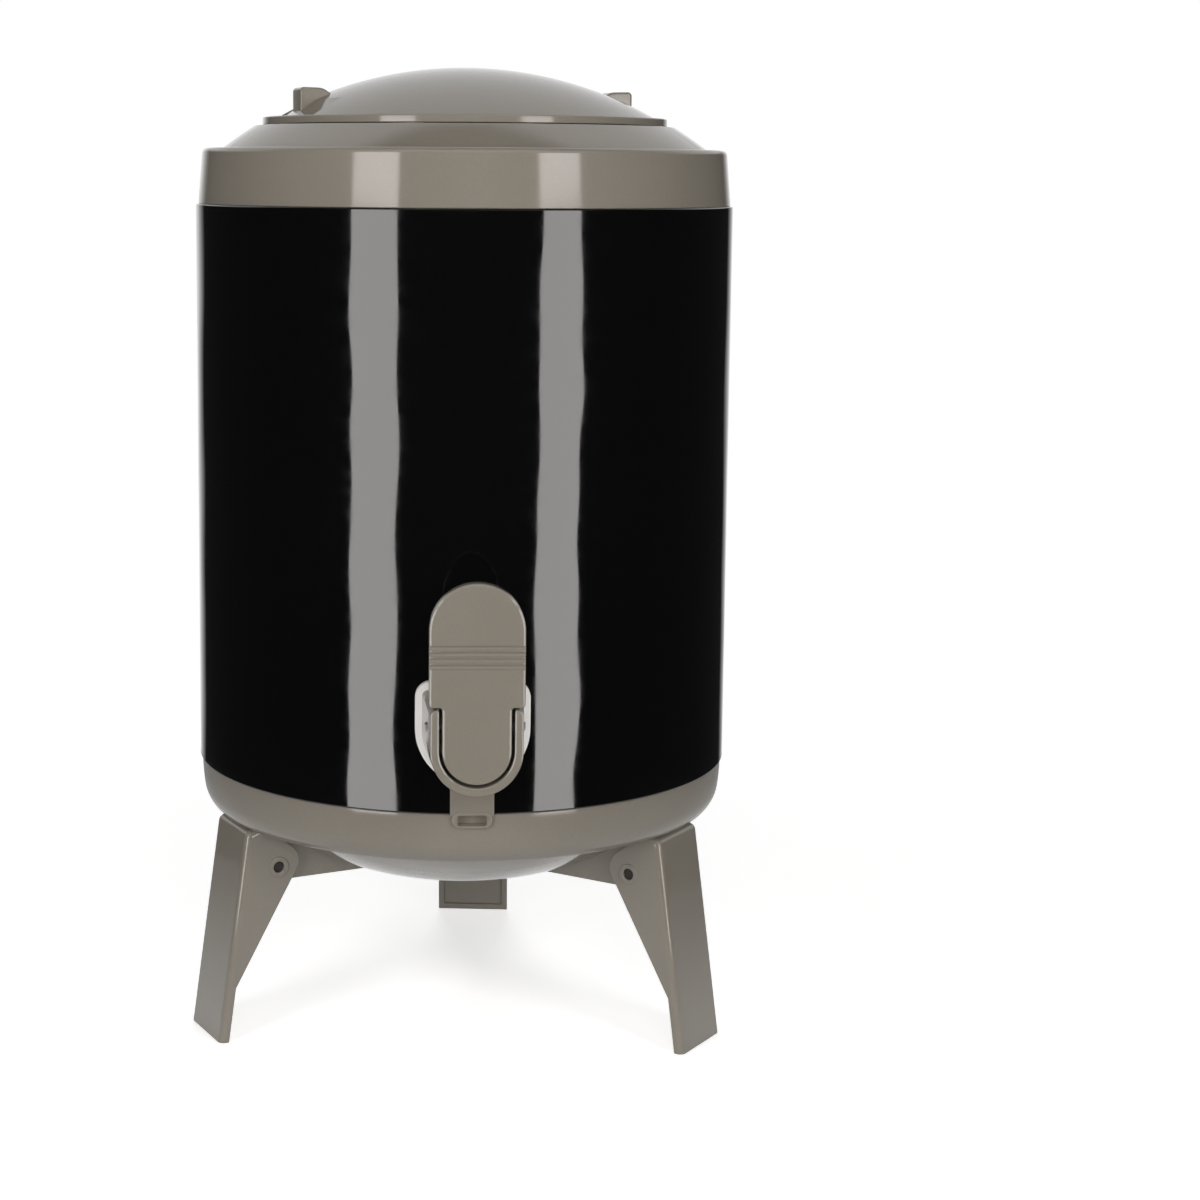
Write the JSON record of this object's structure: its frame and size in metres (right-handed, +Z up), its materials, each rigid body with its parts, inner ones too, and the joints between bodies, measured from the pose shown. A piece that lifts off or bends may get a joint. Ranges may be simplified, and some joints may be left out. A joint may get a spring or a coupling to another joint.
{
  "type": "drink dispenser",
  "caption": "Insulated round drink dispenser on folding legs, with a turn-to-lock domed lid and a sprung lever tap at the foot of the body.",
  "frame": {"origin": "on the body's axis at the plane of the feet", "axes": "+Z up, the tap faces -Y, +X to the right seen from the tap's side"},
  "size_m": [0.2024, 0.2409, 0.3554],
  "materials": {
    "shell_black": "gloss",
    "body_grey": "satin",
    "vessel_white": "gloss",
    "gasket_white": "matte",
    "seal_rubber": "matte",
    "foam": "matte",
    "steel": "satin",
    "dark_steel": "satin"
  },
  "bodies": {
    "body": {"outer_shell": "shell_black", "collar": "body_grey", "base_cup": "body_grey", "inner_vessel": "vessel_white", "vessel_floor": "vessel_white", "vessel_shoulder": "vessel_white", "outlet_pad": "vessel_white", "neck_seal": "seal_rubber", "insulation_sleeve": "foam", "base_insulation": "foam", "tap_gasket": "gasket_white", "tap_body": "body_grey", "tap_shank": "body_grey", "tap_bonnet": "body_grey", "tap_washer": "seal_rubber", "tap_nut": "body_grey", "valve_spring": "steel", "lever_pin": "steel", "leg_pin_front_left": "dark_steel", "leg_pin_front_right": "dark_steel", "leg_pin_rear": "dark_steel"},
    "valve": {"valve_stem": "vessel_white", "valve_seal": "seal_rubber"},
    "lever": {"tap_lever": "body_grey"},
    "lid_plug": {"lid_plug": "vessel_white", "lid_insulation": "foam", "lid_gasket": "seal_rubber"},
    "lid_cover": {"lid_cover": "body_grey", "lid_retainer": "body_grey"},
    "leg_front_left": {"leg_front_left": "body_grey"},
    "leg_front_right": {"leg_front_right": "body_grey"},
    "leg_rear": {"leg_rear": "body_grey"}
  },
  "joints": [
    {"name": "lid_lift", "type": "slide", "parent": "body", "child": "lid_plug", "axis": [0, 0, 1], "range_m": [0, 0.12]},
    {"name": "lid_turn", "type": "hinge", "parent": "lid_plug", "child": "lid_cover", "pos_m": [0, 0, 0.334], "axis": [0, 0, 1], "range_deg": [-45, 0]},
    {"name": "lever_tilt", "type": "hinge", "parent": "body", "child": "lever", "pos_m": [0, -0.119, 0.1332], "axis": [-1, 0, 0], "range_deg": [0, 18], "stiffness_Nm_per_rad": 0.2, "springref_deg": -8.59},
    {"name": "valve_slide", "type": "slide", "parent": "body", "child": "valve", "axis": [0, -1, 0], "range_m": [0, 0.0016], "deforming": ["valve_spring"]},
    {"name": "leg_fold_front_left", "type": "hinge", "parent": "body", "child": "leg_front_left", "pos_m": [-0.07489, -0.0346, 0.064], "axis": [0.4195, -0.9078, 0], "range_deg": [0, 90]},
    {"name": "leg_fold_front_right", "type": "hinge", "parent": "body", "child": "leg_front_right", "pos_m": [0.06741, -0.04756, 0.064], "axis": [0.5764, 0.8171, 0], "range_deg": [0, 90]},
    {"name": "leg_fold_rear", "type": "hinge", "parent": "body", "child": "leg_rear", "pos_m": [0.00748, 0.08216, 0.064], "axis": [-0.9959, 0.0906, 0], "range_deg": [0, 90]}
  ],
  "couplings": [
    {"joint": "valve_slide", "follows": "lever_tilt", "m_per_rad": 0.005}
  ]
}
